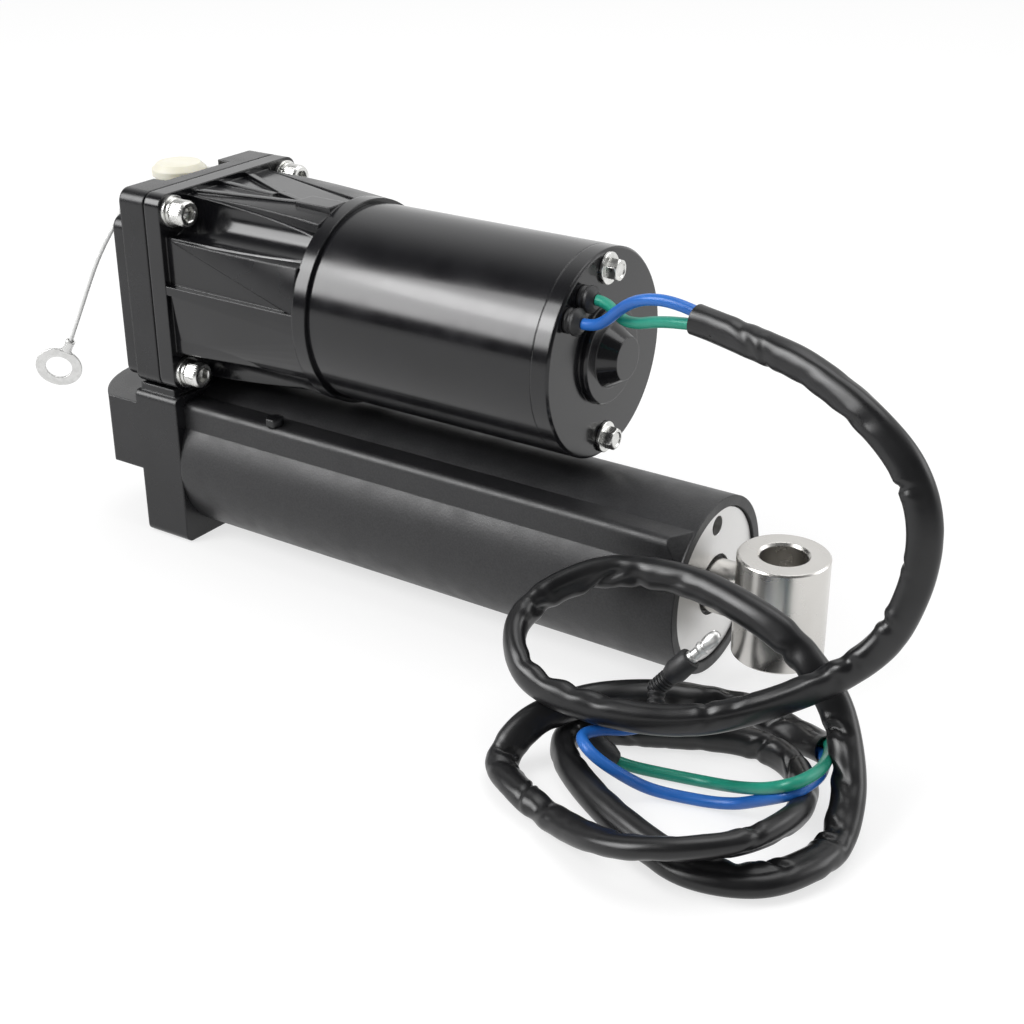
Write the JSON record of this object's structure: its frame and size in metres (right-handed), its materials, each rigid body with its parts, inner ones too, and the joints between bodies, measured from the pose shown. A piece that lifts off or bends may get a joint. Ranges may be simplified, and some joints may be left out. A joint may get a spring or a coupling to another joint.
{
  "type": "power trim and tilt unit",
  "caption": "Hydraulic ram with a pivot lug, a rod eye and a motor-driven gear pump on top, which tilts an outboard engine, with its motor cable in loose loops.",
  "frame": {"origin": "where the axis of the lower pivot bore meets the centreline of the ram", "axes": "+X along the ram from the pivot lug to the rod eye, +Z along the pivot bore, from the ram up to the motor"},
  "size_m": [0.3969, 0.1765, 0.1421],
  "materials": {
    "black_casting": "semi-gloss black paint over aluminium castings",
    "black_gloss": "gloss black paint",
    "black_satin": "satin charcoal black paint, slightly grained",
    "stainless": "fine turned and brushed stainless steel",
    "zinc_steel": "bright zinc plated steel",
    "steel": "ground steel",
    "tinned": "dull tin plate",
    "aluminium": "machined",
    "iron": "machined cast iron",
    "copper": "copper",
    "magnet": "ferrite magnet",
    "carbon": "carbon brush",
    "phenolic": "phenolic board",
    "nylon": "cream nylon",
    "bush_nylon": "black nylon bearing bush",
    "rubber": "black rubber",
    "sleeve_black": "wrinkled black vinyl sleeve",
    "wire_blue": "blue insulation",
    "wire_green": "green insulation",
    "wire_grey": "pale grey insulation"
  },
  "bodies": {
    "unit": {"base_block": "black_casting", "pivot_bushes": "bush_nylon", "cylinder_barrel": "black_satin", "passage_plug": "black_casting", "end_cap": "aluminium", "cap_o_ring": "rubber", "rod_seal": "rubber", "rod_wiper": "rubber", "manifold_block": "black_casting", "back_plate": "black_casting", "back_plate_screws": "zinc_steel", "spool_plug": "zinc_steel", "pump_body": "iron", "pump_cover": "iron", "pump_screws": "zinc_steel", "pump_filter": "steel", "filler_plug": "nylon", "pump_housing": "black_gloss", "housing_gasket": "rubber", "housing_screws": "zinc_steel", "lock_washers": "zinc_steel", "flat_washers": "zinc_steel", "motor_can": "black_gloss", "motor_end_cover": "black_gloss", "drive_end_plate": "aluminium", "field_magnets": "magnet", "brush_holder": "phenolic", "brushes": "carbon", "brush_springs": "steel", "shaft_bearings": "steel", "shaft_seal": "rubber", "through_bolts": "zinc_steel", "wire_grommets": "rubber", "blue_lead": "wire_blue", "green_lead": "wire_green", "cable_sleeve": "sleeve_black", "blue_tail": "wire_blue", "green_tail": "wire_green", "bullet_boots": "rubber", "bullet_terminals": "tinned", "ground_lead": "wire_grey", "ring_terminal": "tinned"},
    "rod_sleeve": {"piston_seal": "rubber"},
    "rod": {"piston_rod": "stainless", "rod_eye": "stainless", "piston": "iron", "piston_nut": "zinc_steel", "shock_balls": "steel", "shock_springs": "steel"},
    "memory_piston": {"free_piston": "aluminium"},
    "rotor": {"armature_shaft": "steel", "armature_core": "iron", "armature_windings": "copper", "commutator": "copper", "shaft_coupler": "steel", "drive_gear": "steel"},
    "idler": {"idler_gear": "steel"},
    "valve_lift": {"release_valve_ring": "rubber"},
    "valve": {"release_valve": "zinc_steel"},
    "spool": {"shuttle_spool": "steel"}
  },
  "joints": [
    {"name": "rod_slide", "type": "slide", "parent": "unit", "child": "rod_sleeve", "axis": [1, 0, 0], "range_m": [0, 0.155]},
    {"name": "rod_turn", "type": "hinge", "parent": "rod_sleeve", "child": "rod", "pos_m": [0.2795, 0, 0], "axis": [1, 0, 0], "continuous": true},
    {"name": "memory_piston_slide", "type": "slide", "parent": "unit", "child": "memory_piston", "axis": [1, 0, 0], "range_m": [0, 0.155]},
    {"name": "armature_spin", "type": "hinge", "parent": "unit", "child": "rotor", "pos_m": [0.15, 0.0078, 0.0713], "axis": [1, 0, 0], "continuous": true},
    {"name": "idler_spin", "type": "hinge", "parent": "unit", "child": "idler", "pos_m": [0.04, 0.0078, 0.0563], "axis": [1, 0, 0], "continuous": true},
    {"name": "release_valve_lift", "type": "slide", "parent": "unit", "child": "valve_lift", "axis": [0, 1, 0], "range_m": [0, 0.00313]},
    {"name": "release_valve_turn", "type": "hinge", "parent": "valve_lift", "child": "valve", "pos_m": [0.021, 0.0463, 0.0893], "axis": [0, 1, 0], "range_deg": [0, 900]},
    {"name": "spool_shift", "type": "slide", "parent": "unit", "child": "spool", "axis": [0, 1, 0], "range_m": [-0.002, 0.002]}
  ],
  "couplings": [
    {"joint": "memory_piston_slide", "follows": "rod_slide", "ratio": 1},
    {"joint": "idler_spin", "follows": "armature_spin", "ratio": -1},
    {"joint": "release_valve_turn", "follows": "release_valve_lift", "rad_per_m": 5026.5}
  ]
}
